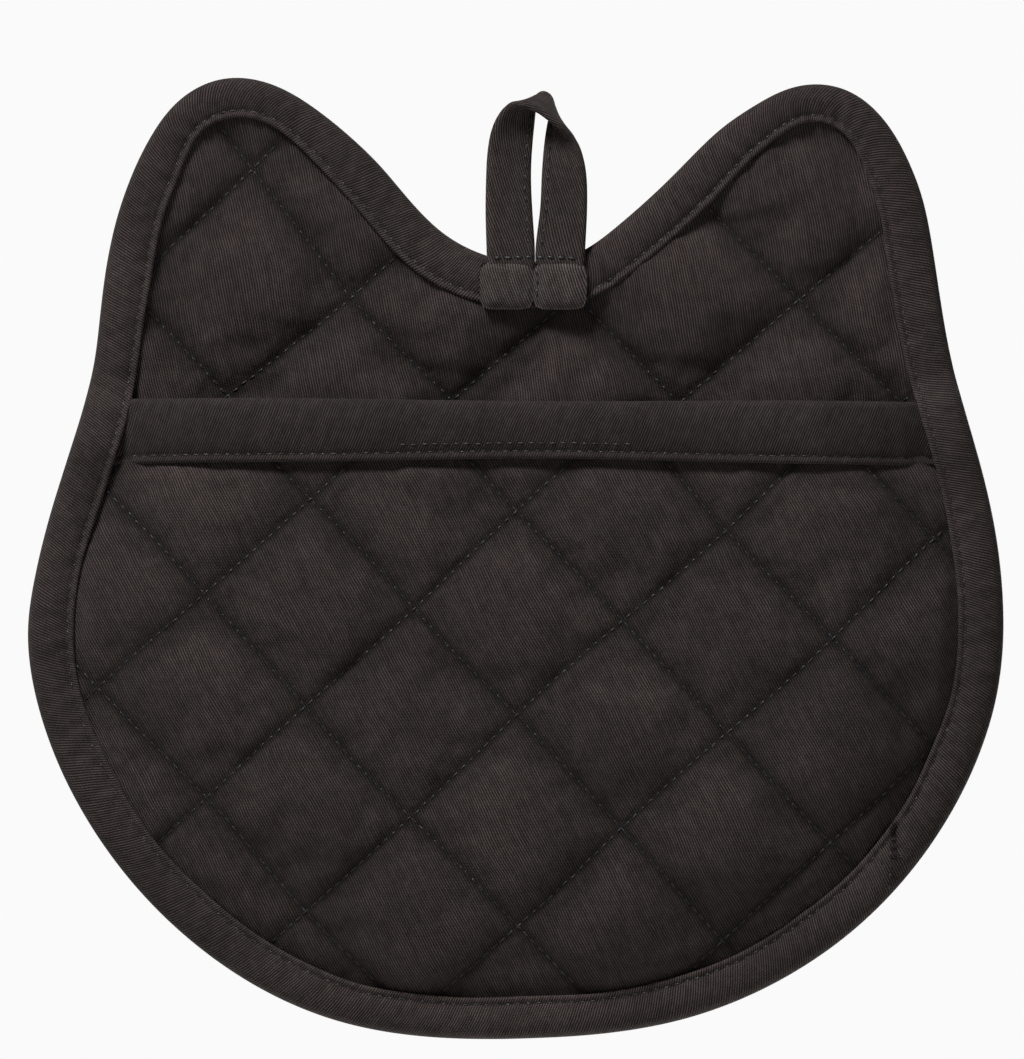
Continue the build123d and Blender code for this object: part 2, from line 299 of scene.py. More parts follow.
def write_uv(piece, per_point):
    """Gives a piece a UV map named cloth, in millimetres, from one (x, y) for each of its points."""
    layer = piece.data.uv_layers.get("cloth")
    if layer is None:
        layer = piece.data.uv_layers[0] if piece.data.uv_layers else piece.data.uv_layers.new(name="cloth")
        layer.name = "cloth"
    corner = np.empty(len(piece.data.loops), dtype=np.int32)
    piece.data.loops.foreach_get("vertex_index", corner)
    layer.uv.foreach_set("vector", np.ascontiguousarray(per_point[corner], dtype=np.float32).ravel())


def write_value(piece, name, values):
    """Stores one number for each point of a piece."""
    attribute = piece.data.attributes.get(name) or piece.data.attributes.new(name, "FLOAT", "POINT")
    attribute.data.foreach_set("value", np.asarray(values, dtype=np.float32))


def apply_modifiers(piece):
    activate(piece)
    for modifier in list(piece.modifiers):
        bpy.ops.object.modifier_apply(modifier=modifier.name)
    deselect()


# %% [markdown]
# A quilted cover is pinned along its rows and its border, and Blender's cloth with a little pressure blows
# each diamond up. That gives the puffs and the small strained folds that cloth really has, which a formula
# can't.

# %% Blowing up the diamonds
def row_distance(lattice, uv):
    """Millimetres from each lattice place to the nearest row of stitches."""
    rise, fall = lattice.steps
    area = abs(rise[0] * fall[1] - rise[1] * fall[0])
    off = np.abs(uv - np.rint(uv))
    return np.minimum(off[:, 0] * area / np.hypot(*fall), off[:, 1] * area / np.hypot(*rise))


settling_frames = 20
divisions = 16              # grid squares along each side of a diamond
stitched = 0.01             # a point nearer a row than this, in mm, is stitched down


def blow_up(piece, pinned, pressure, slack, most):
    """Cloth simulation of an open cover: its pinned points stay, and the rest swells by up to `most`."""
    start = coordinates(piece)
    pins = piece.vertex_groups.new(name="pins")
    pins.add([int(i) for i in np.nonzero(pinned)[0]], 1.0, "REPLACE")
    modifier = piece.modifiers.new("Cloth", "CLOTH")
    settings = modifier.settings
    settings.quality = 5
    settings.mass = 0.3
    settings.tension_stiffness = settings.compression_stiffness = 15
    settings.bending_stiffness = 0.6
    settings.vertex_group_mass = "pins"
    settings.use_pressure = True
    settings.uniform_pressure_force = pressure
    settings.shrink_min = -slack
    settings.effector_weights.gravity = 0
    modifier.collision_settings.use_collision = False
    modifier.point_cache.frame_start = 1
    modifier.point_cache.frame_end = settling_frames
    for number in range(1, settling_frames + 1):
        bpy.context.scene.frame_set(number)
    settled = piece.evaluated_get(bpy.context.evaluated_depsgraph_get()).data
    end = np.empty(len(start) * 3)
    settled.vertices.foreach_get("co", end)
    moved = end.reshape(-1, 3) - start
    far = np.linalg.norm(moved, axis=1)
    moved *= np.minimum(1, most * mm / np.maximum(far, 1e-9))[:, None]
    piece.modifiers.remove(modifier)
    piece.vertex_groups.remove(pins)
    bpy.context.scene.frame_set(1)
    return start + moved


# %% [markdown]
# A cover starts as one flat grid laid out on its lattice, so that every row of stitches runs along the mesh
# and can be creased. The faces outside the pad are deleted, and the twill's thickness is added last.

# %% Making a cover
def quilted_cover(name, lattice, level, keep, held, forward_side, start_rise, most, pressure, slack):
    """A cover on its lattice, with puffed diamonds, and its points before it is given a thickness.

    keep says where the panel has cloth and held where it is pinned. forward_side is 1 if it faces forward and
    -1 if it faces back. The puffs start at start_rise and swell by up to most, in mm.
    """
    first, last = lattice.reach()
    count = last - first
    deselect()
    bpy.ops.mesh.primitive_grid_add(x_subdivisions=int(count[0] * divisions),
                                    y_subdivisions=int(count[1] * divisions), size=1)
    piece = bpy.context.object
    piece.name = piece.data.name = name
    uv = (coordinates(piece)[:, :2] + 0.5) * count + first
    inside = inside_distance(lattice.place(uv))
    wanted = keep(lattice.place(uv), inside)
    corners = np.empty(len(piece.data.polygons) * 4, dtype=np.int32)
    piece.data.polygons.foreach_get("vertices", corners)
    outside = ~wanted[corners.reshape(-1, 4)].all(1)
    bpy.context.tool_settings.mesh_select_mode = (False, False, True)
    bpy.ops.object.mode_set(mode="EDIT")
    bpy.ops.mesh.select_all(action="DESELECT")
    bpy.ops.object.mode_set(mode="OBJECT")
    piece.data.polygons.foreach_set("select", outside)
    bpy.ops.object.mode_set(mode="EDIT")
    bpy.ops.mesh.delete(type="FACE")
    if forward_side > 0:
        bpy.ops.mesh.select_all(action="SELECT")
        bpy.ops.mesh.flip_normals()
    bpy.ops.object.mode_set(mode="OBJECT")

    uv = (coordinates(piece)[:, :2] + 0.5) * count + first
    points = lattice.place(uv)
    inside = inside_distance(points)
    away = row_distance(lattice, uv)
    pinned = (away < stitched) | held(points, inside)
    share = np.sin(np.pi * (uv[:, 0] % 1)) * np.sin(np.pi * (uv[:, 1] % 1))
    share = np.where(pinned, 0, np.maximum(share, 0))
    uneven = 1 + sway(points, 45.0, 0.14, len(name))
    ease = smoothstep((inside - 9.6) / 4) * uneven
    rise = start_rise * share ** 0.5 * ease
    forward = level(points, inside) + forward_side * rise
    start = np.column_stack([points[:, 0], -forward, points[:, 1]]) * mm
    start[~pinned] += 0.00008 * np.random.default_rng(7).normal(size=(int((~pinned).sum()), 3))
    move_points(piece, start)
    move_points(piece, blow_up(piece, pinned, pressure, slack, most))
    write_uv(piece, points)
    write_value(piece, "row_gap", away)
    write_value(piece, "inside", inside)
    crease = piece.data.attributes.new("crease_edge", "FLOAT", "EDGE")
    ends = np.empty(len(piece.data.edges) * 2, dtype=np.int32)
    piece.data.edges.foreach_get("vertices", ends)
    ends = ends.reshape(-1, 2)
    on_row = (away[ends] < stitched).all(1) & (inside[ends].min(1) > 9)
    crease.data.foreach_set("value", np.where(on_row, 0.75, 0.0).astype(np.float32))
    shell = coordinates(piece).copy()
    forward = -shell[:, 1] / mm
    print(name, len(piece.data.polygons), "faces, forward", forward.min().round(2), forward.max().round(2))
    return piece, shell


def finish_cover(piece):
    """Subdivides a cover once and gives it the thickness of the twill, behind its face."""
    fine = piece.modifiers.new("Subdivision", "SUBSURF")
    fine.levels = fine.render_levels = 1
    fine.uv_smooth = "PRESERVE_BOUNDARIES"
    wall = piece.modifiers.new("Solidify", "SOLIDIFY")
    wall.thickness = cloth * mm
    wall.offset = -1
    apply_modifiers(piece)
    smooth(piece)


# %% The four covers
def keep_pad(points, inside):
    return inside > under_binding


def keep_pocket(points, inside):
    return (inside > under_binding) & (points[:, 1] < mouth_z - 4.5)


def hold_pad(points, inside):
    return inside < sewn_border


def hold_pocket(points, inside):
    return (inside < sewn_border) | (points[:, 1] > band_foot_z - 3.2)


pad_panel = (keep_pad, hold_pad)
pocket_panel = (keep_pocket, hold_pocket)
base_front, base_front_shell = quilted_cover(
    "quilted_base_front", base_lattice, base_front_level, *pad_panel, 1, 2.6, 3.0, 7.0, 0.03)
base_rear, base_rear_shell = quilted_cover(
    "quilted_base_rear", base_lattice, base_rear_level, *pad_panel, -1, 1.2, 2.0, 4.0, 0.015)
pocket_front, pocket_front_shell = quilted_cover(
    "quilted_pocket_front", pocket_lattice, pocket_front_level, *pocket_panel, 1, 1.6, 2.4, 6.0, 0.025)
pocket_lining, pocket_lining_shell = quilted_cover(
    "quilted_pocket_lining", pocket_lattice, pocket_lining_level, *pocket_panel, -1, 0.6, 1.2, 3.0, 0.01)

# %% [markdown]
# Wadding fills each panel between its two covers. It takes the covers' own shapes, set back by the cloth's
# thickness, and a wall of faces closes it round the edge.

# %% Wadding
def wadding_between(name, cover, front_shell, rear_shell):
    """A closed pad between two covers that share one grid."""
    count = len(front_shell)
    back_off = np.array([0.0, (cloth + 0.35) * mm, 0.0])
    middle = (front_shell + rear_shell) / 2
    front, rear = front_shell + back_off, rear_shell - back_off
    front = np.where(front[:, 1:2] < middle[:, 1:2], front, middle - 0.02 * back_off)
    rear = np.where(rear[:, 1:2] > middle[:, 1:2], rear, middle + 0.02 * back_off)
    faces = [tuple(polygon.vertices) for polygon in cover.data.polygons]
    edges = {(a, b): True for face in faces for a, b in zip(face, face[1:] + face[:1])}
    border = [(a, b) for a, b in edges if (b, a) not in edges]
    walls = [(b, a, a + count, b + count) for a, b in border]
    rear_faces = [tuple(v + count for v in reversed(face)) for face in faces]
    piece = new_piece(name, np.vstack([front, rear]), faces + rear_faces + walls)
    piece.data.validate()
    smooth(piece)
    print(name, len(piece.data.polygons), "faces")
    return piece


base_wadding = wadding_between("base_padding", base_front, base_front_shell, base_rear_shell)
pocket_wadding = wadding_between("pocket_padding", pocket_front, pocket_front_shell, pocket_lining_shell)
for cover in (base_front, base_rear, pocket_front, pocket_lining):
    finish_cover(cover)

# %% [markdown]
# The strips are also grids: one way runs along the strip and the other round its folded section. The grid's
# points are moved into place and the edges that meet are merged, as when the strip's ends are sewn.

# %% Strips of folded cloth
def strip(name, rows, closed_along):
    """A strip from rows of points, (along, across, xyz) in millimetres. The section is always closed."""
    rows = np.concatenate([rows, rows[:, :1]], axis=1)
    if closed_along:
        rows = np.concatenate([rows, rows[:1]], axis=0)
    along, across = rows.shape[:2]
    deselect()
    bpy.ops.mesh.primitive_grid_add(x_subdivisions=along - 1, y_subdivisions=across - 1, size=1)
    piece = bpy.context.object
    piece.name = piece.data.name = name
    place = coordinates(piece)[:, :2] + 0.5
    i = np.rint(place[:, 0] * (along - 1)).astype(int)
    j = np.rint(place[:, 1] * (across - 1)).astype(int)
    move_points(piece, rows[i, j] * mm)
    middle = rows.mean(1)
    run = np.concatenate([[0], np.cumsum(np.linalg.norm(np.diff(middle, axis=0), axis=1))])
    round_way = np.linalg.norm(np.diff(rows, axis=1), axis=2).mean(0)
    round_run = np.concatenate([[0], np.cumsum(round_way)])
    write_uv(piece, np.column_stack([run[i], round_run[j]]))
    bpy.ops.object.mode_set(mode="EDIT")
    bpy.ops.mesh.select_all(action="SELECT")
    bpy.ops.mesh.remove_doubles(threshold=1e-7)
    if not closed_along:
        bpy.ops.mesh.select_mode(type="EDGE")
        bpy.ops.mesh.select_all(action="DESELECT")
        bpy.ops.mesh.select_non_manifold()
        bpy.ops.mesh.fill_holes(sides=0)
        bpy.ops.mesh.select_all(action="SELECT")
    bpy.ops.mesh.normals_make_consistent(inside=False)
    bpy.ops.object.mode_set(mode="OBJECT")
    bpy.ops.object.shade_smooth()
    deselect()
    print(name, len(piece.data.polygons), "faces, strip", round(run[-1], 1), "mm long")
    return piece


# %% Stations along the edge
def along_edge(count):
    """Equal stations round the pad's edge, their inward vectors and their distance along it."""
    points = evenly(edge, count)
    return points, inward_of(points), np.linspace(0, edge_length, count, endpoint=False)


def station_near(x, z):
    """Distance along the edge of the point nearest to a place."""
    return np.argmin(np.hypot(edge[:, 0] - x, edge[:, 1] - z)) / len(edge) * edge_length


# %% [markdown]
# The edge binding is a bias strip folded over the raw edge and stitched through both sides. Its front is
# pulled down by the stitches near its inner edge, rounds over to the back, lies lower at the ears, where it
# holds only one panel, and rides up over the ends of the pocket's band. Its own two ends overlap on a slant
# at the lower right.

# %% Level and width of the edge binding
binding_steps = 1120
corner_z = (mouth_z + band_foot_z) / 2
lap_at = station_near(80.2, -175.2)
lap_slant = 1.25
tuck_at = station_near(12.5, -31.5)
# (step in from the strip's inner edge, height over its level), with the dip of the stitched row at 1.45
binding_face = ((0.0, -0.8), (-0.14, -0.42), (0.1, -0.08), (0.55, 0.0), (1.05, -0.25), (1.45, -0.52),
                (1.85, -0.26), (2.7, 0.02), (3.9, 0.22), (5.2, 0.28))
binding_inside = ((1.4, 1.2), (3.5, 0.65))
binding_row = 1.45
rear_set_back = 0.3         # the strip's rear is this much narrower
turn = 6.283                # one turn, for waves of a stated length


def binding_front_level(points):
    """How far forward the binding's face stands at stations of the edge."""
    with_pocket = smoothstep((mouth_z + 7 - points[:, 1]) / 7)
    on_band = np.exp(-((points[:, 1] - corner_z) / 9) ** 2)
    return binding_front + 2.6 * with_pocket + 1.5 * on_band


def binding_reach(points, along):
    """Width of the strip's front at stations of the edge: narrower at the ear tips and the chin."""
    ears = smoothstep((points[:, 1] + 12) / 18)
    chin = smoothstep((chin_z + 18 - points[:, 1]) / 16)
    return binding_width - 1.6 * ears - 0.7 * chin + sway(points, 38.0, 0.22, 11)


# %% Edge binding
def folded_sections():
    points, into, along = along_edge(binding_steps)
    front = binding_front_level(points) + sway(points, 24.0, 0.14, 12)
    back = np.full(len(points), binding_back) - 0.4 * smoothstep((mouth_z - points[:, 1]) / 9)
    width = binding_reach(points, along)
    back_width = binding_width - rear_set_back + sway(points, 30.0, 0.3, 13)
    middle, half = (front + back) / 2, (front - back) / 2
    wrap = 0.3 * half + 1.6
    section = [(width - step, front + drop) for step, drop in binding_face]
    section += [(wrap - wrap * np.cos(angle), middle + (half + 0.12) * np.sin(angle))
                for angle in np.radians([72, 52, 34, 17, 0, -17, -34, -52, -72])]
    section += [(back_width - step, back - drop) for step, drop in reversed(binding_face)]
    section += [(back_width - step, back + drop) for step, drop in binding_inside]
    section += [(wrap - (wrap - 0.85) * np.cos(angle), middle + (half - 0.75) * np.sin(angle))
                for angle in np.radians([-70, -35, 0, 35, 70])]
    section += [(width - step, front - drop) for step, drop in reversed(binding_inside)]

    rows = np.empty((len(points), len(section), 3))
    phase = np.random.default_rng(5).uniform(0, 6.3, 4)
    heading = np.unwrap(np.arctan2(into[:, 1], into[:, 0]))
    bend = np.abs(np.gradient(heading) / (edge_length / binding_steps))
    ripple = 0.10 + 3.2 * np.minimum(bend, 0.05)
    for j, (inset, level) in enumerate(section):
        on_front = level > middle
        side = np.where(on_front, 1.0, -1.0)
        crossing = smoothstep(inset / 3) * smoothstep((binding_width + 0.8 - inset) / 2)
        slant = along + 0.45 * inset
        pucker = ripple * (np.sin(slant / 5.1 * turn + phase[0] + 1.4 * np.sin(along / 23)) * 0.6
                           + np.sin(slant / 8.7 * turn + phase[1] + 1.9 * np.sin(along / 31)) * 0.5)
        past = along - lap_at - lap_slant * inset
        lap = 1.0 * (1 - smoothstep((past + 0.6) / 0.8)) * smoothstep((past + 15) / 11)
        lap_folds = 0.8 * np.exp(-((past - 5.0) / 1.9) ** 2) - 0.9 * np.exp(-((past - 0.9) / 0.8) ** 2)
        tuck = along - tuck_at
        tuck_fold = 0.4 * np.exp(-((tuck + 1.5) / 1.1) ** 2) - 0.6 * np.exp(-(tuck / 0.6) ** 2)
        shift = side * (pucker * crossing + (lap + (lap_folds + tuck_fold) * crossing) * on_front)
        rows[:, j, 0] = points[:, 0] + into[:, 0] * inset
        rows[:, j, 2] = points[:, 1] + into[:, 1] * inset
        rows[:, j, 1] = -(level + shift)
    return rows


edge_strip = strip("edge_bias_strip", folded_sections(), True)

# %% [markdown]
# The band on the pocket's mouth is a second strip, folded over the top of the pocket panel. Its ends are
# pressed flat and run under the edge binding. Two rows of stitches hold it in the middle, one elsewhere.

# %% Where the band runs
band_steps = 300
band_row = 1.5
# (height over the foot, stand over the level) down the face and the back, with the dip of the row at 1.5
band_face = ((0.0, -0.95), (-0.2, -0.5), (0.05, -0.02), (0.55, 0.1), (1.1, -0.22), (1.5, -0.5), (1.95, -0.2),
             (2.9, 0.12), (4.6, 0.3), (6.6, 0.38), (8.3, 0.28))
band_back = ((6.6, 0.3), (4.6, 0.2), (2.9, 0.05), (1.5, -0.45), (0.55, 0.05), (0.05, -0.02), (0.0, -0.9))


def mouth_ends():
    """x of the left and right ends of the band, a little under the edge binding."""
    level = edge[np.abs(edge[:, 1] - corner_z) < 1.0]
    return level[:, 0].min() + 5.5, level[:, 0].max() - 5.5


band_left, band_right = mouth_ends()


def band_line(x):
    """Top and foot heights of the band at x: it dips towards the right, and its foot towards both ends."""
    share = (x - band_left) / (band_right - band_left)
    top = mouth_z + 0.5 - 0.9 * share ** 2 + 0.25 * np.sin(share * 9.0)
    foot = band_foot_z - 0.1 - 1.6 * (2 * share - 1) ** 2 - 0.4 * share + 0.2 * np.sin(share * 13.0 + 1.0)
    return top, foot


def band_levels(x):
    """Forward levels of the band's face and back at x."""
    points = np.column_stack([x, np.full(len(x), corner_z)])
    inside = inside_distance(points)
    full = smoothstep((inside - 8) / 14)
    face = pocket_front_level(points, inside) + 1.0 + 0.9 * full
    back = pocket_lining_level(points, inside) - 0.3 - 0.7 * full
    return face, back


# %% Band on the pocket's mouth
def band_sections():
    x = np.linspace(band_left, band_right, band_steps)
    top, foot = band_line(x)
    face, back = band_levels(x)
    line = np.column_stack([x, x * 0])
    face = face + sway(line, 40.0, 0.18, 21)
    middle, half = (face + back) / 2, (face - back) / 2
    radius = np.minimum(half, 2.9)
    inner_foot = foot + 1.4
    section = [(face + drop, foot + up) for up, drop in band_face]
    section += [(middle + half * np.sin(angle), top - radius + radius * np.cos(angle))
                for angle in np.radians([68, 48, 30, 15, 0, -15, -30, -48, -68])]
    section += [(back - drop, inner_foot + up) for up, drop in band_back]
    section += [(back + drop, inner_foot + up) for up, drop in ((1.5, 1.2), (4.6, 0.75))]
    section += [(middle + (half - 0.85) * np.sin(angle), top - radius + (radius - 0.85) * np.cos(angle))
                for angle in np.radians([-60, -25, 0, 25, 60])]
    section += [(face - drop, foot + up) for up, drop in ((4.6, 0.75), (1.5, 1.25))]

    rows = np.empty((len(x), len(section), 3))
    for j, (level, height) in enumerate(section):
        share = (height - foot) / (top - foot)
        slant = x + 0.5 * (height - foot)
        pucker = (0.13 * np.sin(slant / 6.3 * turn + 2.0 * np.sin(x / 17))
                  + 0.1 * np.sin(slant / 10.9 * turn + 1.0))
        side = np.where(level > middle, 1.0, -1.0)
        rows[:, j, 0] = x
        rows[:, j, 1] = -(level + side * pucker * smoothstep(share * 3) * smoothstep((1.05 - share) * 4))
        rows[:, j, 2] = height
    return rows


mouth_strip = strip("mouth_bias_strip", band_sections(), False)

# %% [markdown]
# The loop is one tape. Its legs lie flat on the pad's face, side by side, and at the top it turns on edge:
# what was its outer edge comes forward and dips, and its inner edge goes to the back and arches over. Each
# pair of points below is the two edges of the tape at one place, and ribs of the mesh join them.

# %% The tape's path
loop_pairs = np.array([
    # outer edge (x, forward, z), inner edge (x, forward, z)
    [(-11.2, 0.2, -35.5), (-0.45, 0.2, -35.5)],
    [(-11.4, 0.2, -29.5), (-0.5, 0.2, -29.5)],
    [(-11.6, 0.1, -22.0), (-1.0, 0.1, -22.0)],
    [(-11.5, 0.2, -15.0), (-1.3, -0.1, -16.0)],
    [(-11.2, 0.7, -9.0), (-1.3, -0.4, -11.2)],
    [(-10.4, 1.8, -4.2), (-1.0, -1.0, -6.0)],
    [(-8.9, 3.1, -0.6), (-0.6, -2.2, -1.6)],
    [(-6.6, 4.1, 2.0), (-0.3, -3.3, 1.6)],
    [(-3.9, 4.5, 2.2), (0.1, -4.0, 3.9)],
    [(-1.5, 4.6, 1.3), (0.8, -4.3, 5.1)],
    [(0.6, 4.5, 0.2), (1.8, -4.3, 5.4)],
    [(2.6, 4.3, -1.2), (2.9, -4.0, 4.6)],
    [(4.9, 3.9, -2.8), (3.4, -3.5, 2.6)],
    [(7.3, 3.1, -4.4), (3.0, -2.8, 0.4)],
    [(9.2, 2.1, -6.5), (2.3, -1.7, -2.4)],
    [(10.5, 1.0, -10.0), (1.6, -0.7, -7.0)],
    [(11.2, 0.4, -14.5), (1.1, -0.1, -13.0)],
    [(11.3, 0.1, -21.0), (0.7, 0.1, -21.0)],
    [(10.9, 0.2, -29.5), (-0.3, 0.2, -29.5)],
    [(10.5, 0.2, -35.5), (-0.35, 0.2, -35.5)],
])
tape_half = 0.75            # half the thickness of the folded tape
loop_steps = 170
half_section = 13
tape_row_gap = 1.4          # from the inner edge to the row of stitches


def through(points, count):
    """A smooth line through given points, by Catmull and Rom's rule."""
    knots = np.vstack([2 * points[:1] - points[1:2], points, 2 * points[-1:] - points[-2:-1]])
    at = np.linspace(0, len(points) - 1 - 1e-9, count)
    k = at.astype(int)
    t = (at - k)[:, None]
    a, b, c, d = knots[k], knots[k + 1], knots[k + 2], knots[k + 3]
    square, cube = 2 * a - 5 * b + 4 * c - d, 3 * b - a - 3 * c + d
    return 0.5 * (2 * b + (c - a) * t + square * t ** 2 + cube * t ** 3)


# %% Hanging loop
def tape_edges():
    outer = through(loop_pairs[:, 0], loop_steps)
    inner = through(loop_pairs[:, 1], loop_steps)
    outer[:, 1] *= -1
    inner[:, 1] *= -1
    return outer, inner


def unit(vectors):
    return vectors / np.linalg.norm(vectors, axis=1)[:, None]


def tape_frame():
    """The tape's two edges, with unit vectors across it and out of its face."""
    outer, inner = tape_edges()
    across = unit(inner - outer)
    along = unit(np.gradient((outer + inner) / 2, axis=0))
    return outer, inner, across, unit(np.cross(across, along))


def tape_sections():
    outer, inner, across, face = tape_frame()
    width = np.linalg.norm(inner - outer, axis=1)
    section = []
    for share in np.linspace(0, 1, half_section):
        edge_round = np.minimum(share, 1 - share) * width
        thick = tape_half * np.sqrt(np.clip(1 - (1 - np.minimum(edge_round / 0.9, 1)) ** 2, 0.05, 1))
        row = np.exp(-(((1 - share) * width - tape_row_gap) / 0.5) ** 2)
        section.append((share, thick - 0.28 * row))
    rows = np.empty((len(outer), 2 * half_section, 3))
    for j, (share, thick) in enumerate(section):
        middle = outer + (inner - outer) * share
        rows[:, j] = middle + face * thick[:, None]
        rows[:, -1 - j] = middle - face * thick[:, None]
    return rows


hanging_tape = strip("hanging_tape", tape_sections(), False)


# %% [markdown]
# The tape's two ends are turned under and sewn down on the pad's face as small padded blocks, pressed in
# along the row of stitches at their top.

# %% Sewn ends of the tape
def sewn_end(name, left, right, seed):
    """One sewn-down end of the tape: turned under at its foot and squashed by its stitches at the top."""
    top, foot = end_top_z, end_foot_z
    rear, face = -1.0, 1.35
    deselect()
    bpy.ops.mesh.primitive_cube_add(size=1)
    piece = bpy.context.object
    piece.name = piece.data.name = name
    bpy.ops.object.mode_set(mode="EDIT")
    bpy.ops.mesh.subdivide(number_cuts=11)
    bpy.ops.object.mode_set(mode="OBJECT")
    place = coordinates(piece) * 2
    x, y, z = place.T
    rounding = 1 - 0.10 * smoothstep((np.abs(x) - 0.55) / 0.45) * smoothstep((np.abs(z) - 0.55) / 0.45)
    shape = np.empty_like(place)
    shape[:, 0] = (left + right) / 2 + x * rounding * (right - left) / 2 * (1 - 0.03 * y)
    shape[:, 2] = (top + foot) / 2 + z * rounding * (top - foot) / 2 + 0.35 * (1 - x ** 2) * (z > 0)
    crown = (1 - np.abs(x) ** 5) * (1 - np.abs(z) ** 5)
    pressed = np.exp(-((z - 0.86) / 0.09) ** 2)
    flat = np.column_stack([shape[:, 0], shape[:, 2]])
    bump = 0.3 * crown - 0.45 * pressed + sway(flat, 5.0, 0.12, seed) * crown
    forward = np.where(y < 0, face - 0.75 * (1 - crown) + bump, rear)
    forward = np.where(np.abs(y) < 0.99, rear + (forward.max() - rear) * (1 - (y + 1) / 2) * 0.72, forward)
    shape[:, 1] = -forward
    move_points(piece, shape * mm)
    fine = piece.modifiers.new("Subdivision", "SUBSURF")
    fine.levels = fine.render_levels = 1
    apply_modifiers(piece)
    smooth(piece)
    place = coordinates(piece) / mm
    write_uv(piece, np.column_stack([place[:, 0], place[:, 2] - place[:, 1]]))
    return piece


sewn_left = sewn_end("tape_end_left", end_left, end_seam - 0.1, 31)
sewn_right = sewn_end("tape_end_right", end_seam + 0.1, end_right, 32)

# %% [markdown]
# Each row of stitches is a line of separate short threads that lie on the cloth and dive into it at both
# ends. One stitch is modelled as a small sphere pulled long. It is then copied along every row, and a ray
# cast at the finished cloth says how deep each copy lies.

# %% One stitch
deselect()
bpy.ops.mesh.primitive_uv_sphere_add(segments=6, ring_count=5, radius=1)
pattern = bpy.context.object
pattern_points = coordinates(pattern)[:, [2, 0, 1]].copy()
pattern_faces = [tuple(polygon.vertices) for polygon in pattern.data.polygons]
bpy.data.objects.remove(pattern)
thread_radius = 0.17
tack_radius = 0.3

print("stitch", len(pattern_faces), "faces, radius", thread_radius, "mm")


# %% Laying stitches on cloth
def surface_of(*pieces):
    """A search tree of finished pieces' faces."""
    points, faces = [], []
    for piece in pieces:
        start = len(points)
        points += [tuple(p) for p in coordinates(piece)]
        faces += [tuple(v + start for v in polygon.vertices) for polygon in piece.data.polygons]
    return BVHTree.FromPolygons(points, faces)


def on_surface(tree, x, z, side):
    """The point of a surface seen from the front (side 1) or the back (side -1) at x, z in millimetres."""
    hit = tree.ray_cast(Vector((x * mm, -0.05 * side, z * mm)), Vector((0, side, 0)))[0]
    return None if hit is None else np.array(hit) / mm


def pitched(line, pitch):
    """Points at equal steps along an open line of (x, z) points."""
    run = np.concatenate([[0], np.cumsum(np.hypot(*np.diff(line, axis=0).T))])
    at = np.arange(0, run[-1], pitch)
    return np.column_stack([np.interp(at, run, line[:, k]) for k in (0, 1)])


def stitch_ends(line, tree, side):
    """Start, end and outward vector of each stitch along a line of (x, z) points on a surface."""
    ends = []
    places = pitched(line, stitch_pitch / 4)        # three quarters thread and one quarter gap
    for k in range(0, len(places) - 4, 4):
        a = on_surface(tree, *places[k], side)
        b = on_surface(tree, *places[k + 3], side)
        if a is not None and b is not None and abs(a[1] - b[1]) < 1.5:
            ends.append((a, b, np.array([0.0, -side, 0.0])))
    return ends


def threads(name, ends, radius=thread_radius):
    """One piece made of a copy of the stitch for each pair of ends."""
    rng = np.random.default_rng(len(ends))
    points, faces = [], []
    for k, (a, b, out) in enumerate(ends):
        along = b - a
        length = np.linalg.norm(along) * rng.uniform(0.95, 1.08)
        along /= np.linalg.norm(along)
        side = np.cross(out, along)
        side /= np.linalg.norm(side)
        up = np.cross(along, side)
        middle = (a + b) / 2 + up * 0.06 + side * rng.normal() * 0.05
        bow = 0.16 * (1 - pattern_points[:, 0] ** 2) - 0.12
        shaped = (pattern_points[:, :1] * along * length / 2 + pattern_points[:, 1:2] * side * radius
                  + (pattern_points[:, 2:] * radius + bow[:, None]) * up)
        points.append(middle + shaped)
        faces += [tuple(v + k * len(pattern_points) for v in face) for face in pattern_faces]
    piece = new_piece(name, np.vstack(points) * mm, faces)
    activate(piece)
    bpy.ops.object.mode_set(mode="EDIT")
    bpy.ops.mesh.select_all(action="SELECT")
    bpy.ops.mesh.normals_make_consistent(inside=False)
    bpy.ops.object.mode_set(mode="OBJECT")
    bpy.ops.object.shade_smooth()
    deselect()
    print(name, len(ends), "stitches")
    return piece


# %% [markdown]
# The rows are of five kinds: the quilting, the row that holds the edge binding, the band's rows, the row that
# closes the tape, and the thick ones that tack its ends down.

# %% Rows of the quilting and the binding
def cut_where(line, good):
    """The runs of a line on which good is true."""
    cuts = np.nonzero(np.diff(good.astype(int)))[0] + 1
    return [run for run, ok in zip(np.split(line, cuts), np.split(good, cuts)) if ok[0]]


def lattice_rows(lattice, wanted):
    """Every row of a lattice, cut to where it is wanted."""
    first, last = lattice.reach()
    rows = []
    for axis in (0, 1):
        for number in range(first[axis], last[axis] + 1):
            free = np.linspace(first[1 - axis], last[1 - axis], 900)
            uv = np.empty((len(free), 2))
            uv[:, axis] = number
            uv[:, 1 - axis] = free
            points = lattice.place(uv)
            runs = cut_where(points, wanted(points, inside_distance(points)))
            rows += [run for run in runs if len(run) > 8]
    return rows


def quilting(name, lattice, wanted, cover, side):
    tree = surface_of(cover)
    ends = []
    for row in lattice_rows(lattice, wanted):
        ends += stitch_ends(row, tree, side)
    return threads(name, ends)


def inside_binding(points, inside):
    return inside > first_stitch


def below_band(points, inside):
    return (inside > first_stitch) & (points[:, 1] < band_line(points[:, 0])[1] - 0.4)


